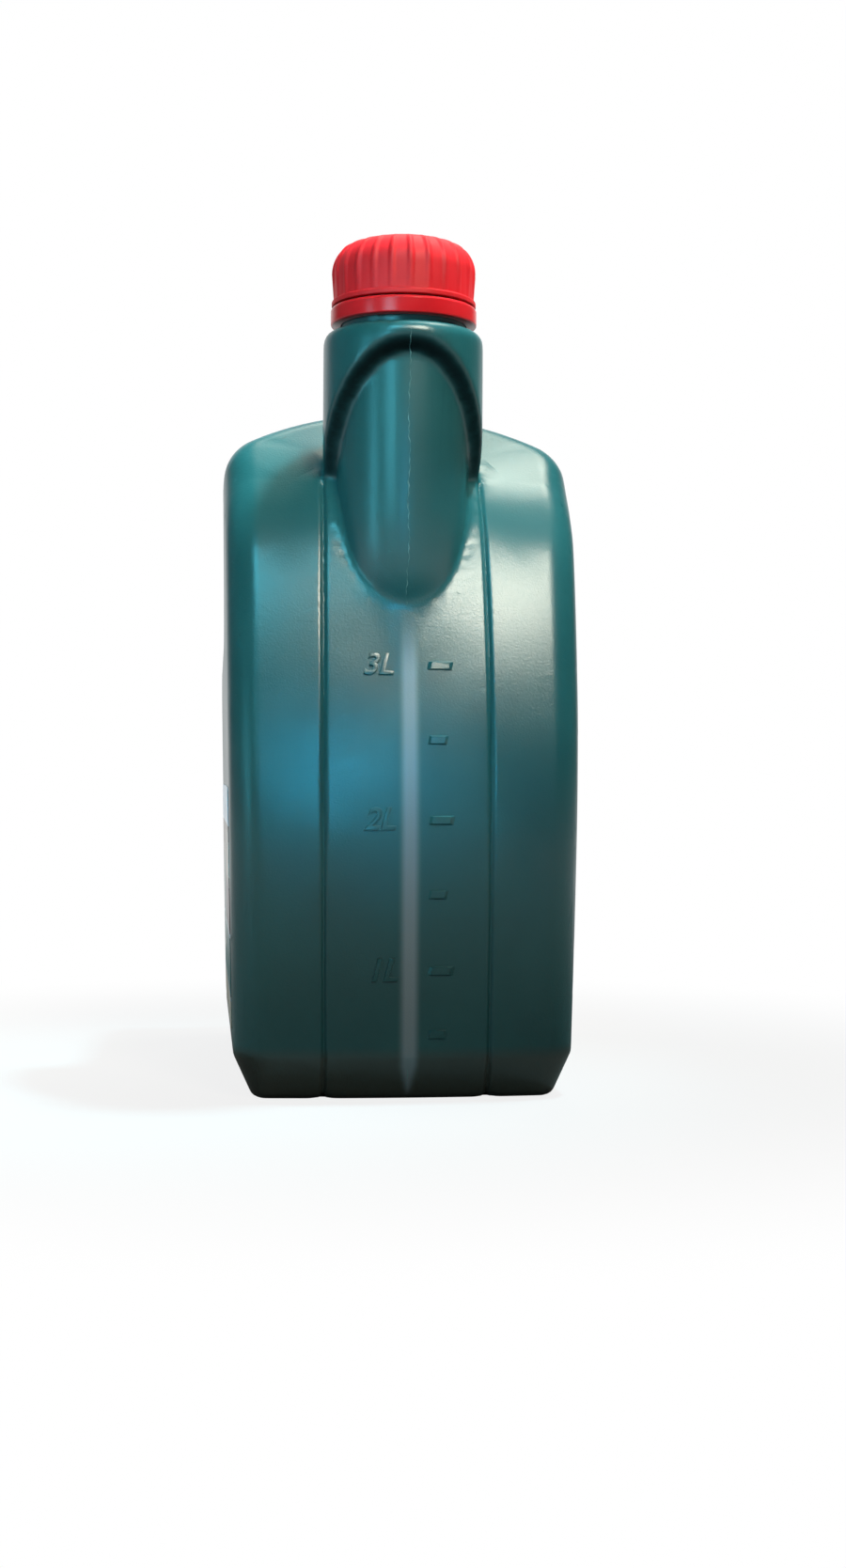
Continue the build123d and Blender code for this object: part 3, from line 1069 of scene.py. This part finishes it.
class BuildCap(Operator):
    """Ribbed screw cap with a plain lip, hollow inside"""

    bl_idname = "oil_bottle.build_cap"
    bl_label = "Screw cap"

    def execute(self, context):
        cap = context.scene.cap_sizes
        low, high = CAP_LOW.z, CAP_HIGH.z
        wall = CAP_RADIUS - cap.rib_rise
        roof = high - cap.top_wall
        lip_top = low + cap.lip_height
        ring_foot = LINER_HIGH.z
        ring_inside = cap.seal_ring - cap.seal_width
        shoulder = high - cap.dome
        corners = [
            (cap.bore, low, 0.25 * MM), (CAP_RADIUS, low, 0.35 * MM), (CAP_RADIUS, lip_top, 0.45 * MM),
            (wall, lip_top + 0.35 * MM, 0.2 * MM), (wall, high, cap.dome), (4 * MM, high, 0), (0, high, 0),
            (0, roof, 0), (ring_inside, roof, 0.4 * MM), (ring_inside, ring_foot, 0.3 * MM),
            (cap.seal_ring, ring_foot, 0.3 * MM), (cap.seal_ring, shoulder + 5 * MM, 0.3 * MM),
            (cap.bore, shoulder + 1 * MM, 1.2 * MM),
        ]
        mesh = lathe(rounded_outline(corners, 14), cap.rib_count * 14, "screw_cap_shell")
        points = read_points(mesh)
        up = fade(points[:, 2], shoulder, cap.dome)
        run_out = fade(-up, -0.97, 0.25)
        dome_reach = wall - cap.dome + cap.dome * np.sqrt(1 - up ** 2)
        outside = np.abs(spout_reach(points) - dome_reach) < 0.1 * MM
        outside &= points[:, 2] > lip_top + 0.5 * MM
        share = np.where(outside, run_out, 0)
        store(mesh, "rib_share", share)
        material = bpy.data.materials["moulded_red"]

        def ribs(carrier):
            modifier = carrier.modifiers.new("ribs", "NODES")
            modifier.node_group = rib_tree()
            set_input(modifier, "Count", cap.rib_count)
            set_input(modifier, "Rise", cap.rib_rise)
            set_input(modifier, "Axis Y", SPOUT_Y)
            set_input(modifier, "Material", material)

        shell = evaluated(mesh, "screw_cap_shell", ribs)
        finished(smooth_shaded(shell, 50), "screw_cap_shell", material, "cap", "screw_cap")
        return {"FINISHED"}


class BuildBand(Operator):
    """Glossy tamper band held under the neck's bead, and the liner disc inside the cap"""

    bl_idname = "oil_bottle.build_band"
    bl_label = "Band and liner"

    def execute(self, context):
        sizes = context.scene.bottle_sizes
        clearance = 0.3 * MM
        inside = sizes.bead_radius + clearance
        hook = sizes.finish_radius + clearance
        low, high = BAND_LOW.z, BAND_HIGH.z
        corners = [
            (hook, low, 0.2 * MM), (BAND_RADIUS, low, 0.7 * MM), (BAND_RADIUS, high - 0.9 * MM, 0.4 * MM),
            (BAND_RADIUS - 0.5 * MM, high, 0.5 * MM), (inside, high, 0.2 * MM),
            (inside, low + 1.6 * MM, 0.2 * MM), (hook, low + 1.3 * MM, 0.3 * MM),
        ]
        mesh = lathe(rounded_outline(corners, 8), 160, "tamper_ring")
        material = bpy.data.materials["glossy_red"]
        finished(smooth_shaded(mesh, 50), "tamper_ring", material, "bottle", "tamper_band")
        rim = LINER_HIGH.x
        low, high = LINER_LOW.z, LINER_HIGH.z
        corners = [
            (0, low, 0), (rim, low, 0.35 * MM), (rim, high, 0.35 * MM), (0, high, 0),
        ]
        mesh = lathe(rounded_outline(corners), 128, "liner_disc")
        foam = bpy.data.materials["foam_disc"]
        finished(smooth_shaded(mesh, 50), "liner_disc", foam, "liner", "cap_liner")
        return {"FINISHED"}


class BuildLabel(Operator):
    """Printed film on the left wide face"""

    bl_idname = "oil_bottle.build_label"
    bl_label = "Label"

    def execute(self, context):
        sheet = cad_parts["side_label"]
        sheet.data.materials.clear()
        sheet.data.materials.append(bpy.data.materials["printed_film"])
        return {"FINISHED"}


class MixFinishes(Operator):
    """Materials of all the pieces"""

    bl_idname = "oil_bottle.mix_finishes"
    bl_label = "Finishes"

    def execute(self, context):
        tints = context.scene.bottle_finish
        teal_material()
        reds = (tints.red, tints.red_pale)
        for name, roughness, grain_depth in (("moulded_red", 0.5, 0.035), ("glossy_red", 0.2, 0.01)):
            clouded_material(
                name, *reds, roughness, grain_depth * MM, specular=0.22, spread=0.06, cloud_scale=45.0
            )
        clouded_material("pale_flash", tints.teal_pale, tints.flash, 0.5, 0.02 * MM, cloud_scale=160.0)
        dull_foam = [value * 0.86 for value in tints.foam]
        clouded_material("foam_disc", dull_foam, tints.foam, 0.75, 0.06 * MM, 0.3)
        label_material()
        return {"FINISHED"}


class SetStage(Operator):
    """Pale floor, lamps, surroundings and the camera"""

    bl_idname = "oil_bottle.set_stage"
    bl_label = "Stage"

    def floor_material(self, tints):
        material = bpy.data.materials.new("pale_floor")
        material.use_nodes = True
        tree = material.node_tree
        tree.nodes.clear()
        rays = put(tree, "ShaderNodeLightPath").outputs
        bounced = math_node(tree, "ADD", rays["Is Glossy Ray"], rays["Is Transmission Ray"], clamp=True)
        dim = [value * 0.3 for value in tints.floor]
        seen = mixed(tree, rays["Is Camera Ray"], dim, tints.floor)
        matt = put(tree, "ShaderNodeBsdfDiffuse", {"Color": seen}).outputs[0]
        glow = put(tree, "ShaderNodeEmission", {"Color": (1, 1, 1, 1), "Strength": 1.0}).outputs[0]
        place = put(tree, "ShaderNodeTexCoord").outputs["Object"]
        away = put(tree, "ShaderNodeVectorMath", {0: place}, operation="LENGTH").outputs["Value"]
        white_near = 0.84
        white = scaled(tree, ramp(tree, away, 0.12, 0.35), 1 - white_near, white_near)
        direct = product(tree, rays["Is Camera Ray"], white)
        mirrored = product(tree, bounced, ramp(tree, away, 0.35, 0.9))
        share = math_node(tree, "ADD", direct, mirrored, clamp=True)
        blend = put(tree, "ShaderNodeMixShader", {0: share, 1: matt, 2: glow}).outputs[0]
        put(tree, "ShaderNodeOutputMaterial", {"Surface": blend})
        return material

    def lamp(self, name, watts, place, aim, size, tint, spread, mirrored=True):
        data = bpy.data.lights.new(name, "AREA")
        data.shape = "RECTANGLE"
        data.size, data.size_y = size
        data.energy = watts
        data.color = tint
        data.spread = math.radians(spread)
        lamp = bpy.data.objects.new(name, data)
        lamp.location = place
        lamp.rotation_euler = (Vector(aim) - Vector(place)).to_track_quat("-Z", "Y").to_euler()
        lamp.visible_glossy = mirrored
        bpy.context.scene.collection.objects.link(lamp)

    def lamps(self, studio):
        high = (0.0, -0.06, 0.34)
        low = (-0.01, -0.09, 0.145)
        white = (1.0, 1.0, 1.0)
        blue = (0.13, 0.78, 1.0)
        deep_blue = (0.06, 0.60, 1.0)
        pale_blue = (0.45, 0.90, 1.0)
        warm = (1.0, 0.96, 0.80)
        cool = studio.cool_power
        top = studio.top_power
        large = (0.50, 0.50)
        self.lamp("window_lamp", studio.key_power, (0.20, -0.64, 0.78), high, (0.38, 0.44), warm, 22)
        self.lamp("cool_lamp", 0.55 * cool, (-0.40, -0.84, 0.44), high, (0.30, 0.28), blue, 26)
        self.lamp("cool_high_lamp", 0.9 * cool, (-0.20, -0.66, 0.80), high, (0.32, 0.36), blue, 24)
        self.lamp("side_lamp", 0.35 * cool, (-0.70, -0.48, 0.34), high, (0.14, 0.40), blue, 30)
        self.lamp("panel_lamp", 0.08 * cool, (-0.04, -1.05, 0.32), low, (0.17, 0.13), deep_blue, 6)
        self.lamp("ceiling_lamp", 1.8 * top, (0.25, 0.06, 1.08), high, (0.40, 0.52), warm, 36)
        self.lamp("edge_lamp", 0.3 * top, (0.06, 0.45, 1.05), low, (0.40, 0.30), warm, 30)
        self.lamp("shadow_lamp", 2.6 * top, (0.26, -0.03, 1.12), high, (0.08, 0.08), pale_blue, 24, False)
        sides = (
            ("left_fill", (-0.80, 0.30, 0.42)), ("right_fill", (0.78, 0.48, 0.42)),
            ("rear_fill", (0.10, 0.95, 0.50)),
        )
        for name, place in sides:
            self.lamp(name, studio.side_power, place, low, large, white, 180, False)

    def surroundings(self, studio):
        world = bpy.data.worlds.new("studio")
        world.use_nodes = True
        tree = world.node_tree
        tree.nodes.clear()
        rays = put(tree, "ShaderNodeLightPath").outputs
        ambient = put(tree, "ShaderNodeBackground", {
            "Color": (0.9, 0.96, 1, 1), "Strength": studio.fill,
        }).outputs[0]
        white = put(tree, "ShaderNodeBackground", {"Color": (1, 1, 1, 1), "Strength": 1.0}).outputs[0]
        ahead = put(tree, "ShaderNodeTexCoord").outputs["Generated"]
        depth = put(tree, "ShaderNodeSeparateXYZ", {"Vector": ahead}).outputs["Y"]
        glossy = math_node(tree, "MULTIPLY", rays["Is Glossy Ray"], ramp(tree, depth, 0.6, 0.95))
        seen = math_node(tree, "ADD", rays["Is Camera Ray"], rays["Is Transmission Ray"], clamp=True)
        seen = math_node(tree, "ADD", seen, glossy, clamp=True)
        blend = put(tree, "ShaderNodeMixShader", {0: seen, 1: ambient, 2: white}).outputs[0]
        put(tree, "ShaderNodeOutputWorld", {"Surface": blend})
        return world

    def camera(self, studio):
        data = bpy.data.cameras.new("photo_camera")
        data.sensor_width = 36.0
        data.lens = studio.lens
        data.clip_start = 0.01
        yaw, pitch, roll = studio.camera_yaw, studio.camera_pitch, studio.camera_roll
        ahead = Vector((math.sin(yaw) * math.cos(pitch), math.cos(yaw) * math.cos(pitch), math.sin(pitch)))
        level = Vector((math.cos(yaw), -math.sin(yaw), 0))
        rise = level.cross(ahead)
        right = level * math.cos(roll) + rise * math.sin(roll)
        up = rise * math.cos(roll) - level * math.sin(roll)
        camera = bpy.data.objects.new("photo_camera", data)
        turn = Matrix((right, up, -ahead)).transposed().to_4x4()
        camera.matrix_world = Matrix.Translation(studio.camera_place) @ turn
        bpy.context.scene.collection.objects.link(camera)
        bpy.context.scene.camera = camera

    def execute(self, context):
        scene = context.scene
        studio = scene.studio_settings
        cells = bmesh.new()
        bmesh.ops.create_circle(cells, cap_ends=True, segments=96, radius=6.0)
        bmesh.ops.translate(cells, verts=cells.verts, vec=(0, 0, BOTTLE_LOW.z - 0.05 * MM))
        floor = bpy.data.objects.new("floor", to_mesh(cells, "floor"))
        floor.data.materials.append(self.floor_material(scene.bottle_finish))
        scene.collection.objects.link(floor)
        self.lamps(studio)
        scene.world = self.surroundings(studio)
        scene.view_settings.view_transform = "Standard"
        self.camera(studio)
        return {"FINISHED"}


class BottlePanel(Panel):
    """Lists the steps in the order in which they run"""

    bl_idname = "VIEW3D_PT_oil_bottle"
    bl_label = "Oil bottle"
    bl_space_type = "VIEW_3D"
    bl_region_type = "UI"
    bl_category = "Bottle"

    def draw(self, context):
        for step in STEPS:
            self.layout.operator(step.bl_idname)
        for group in ("bottle_sizes", "cap_sizes", "bottle_finish", "studio_settings"):
            box = self.layout.box()
            settings = getattr(context.scene, group)
            for name in settings.bl_rna.properties.keys():
                if name not in ("rna_type", "name"):
                    box.prop(settings, name)


STEPS = (
    MixFinishes, BuildBottle, BuildNeckThread, BuildMarks, BuildFlash, BuildCap, BuildBand, BuildLabel,
    SetStage,
)
SETTINGS = {
    "bottle_sizes": BottleSizes,
    "cap_sizes": CapSizes,
    "bottle_finish": FinishColours,
    "studio_settings": StudioSettings,
}


def register():
    for name, group in SETTINGS.items():
        bpy.utils.register_class(group)
        setattr(bpy.types.Scene, name, PointerProperty(type=group))
    for step in (*STEPS, BottlePanel):
        bpy.utils.register_class(step)


def unregister():
    for step in (BottlePanel, *reversed(STEPS)):
        bpy.utils.unregister_class(step)
    for name, group in SETTINGS.items():
        delattr(bpy.types.Scene, name)
        bpy.utils.unregister_class(group)


def main():
    register()
    for step in STEPS:
        group, name = step.bl_idname.split(".")
        getattr(getattr(bpy.ops, group), name)()


if __name__ == "__main__":
    main()
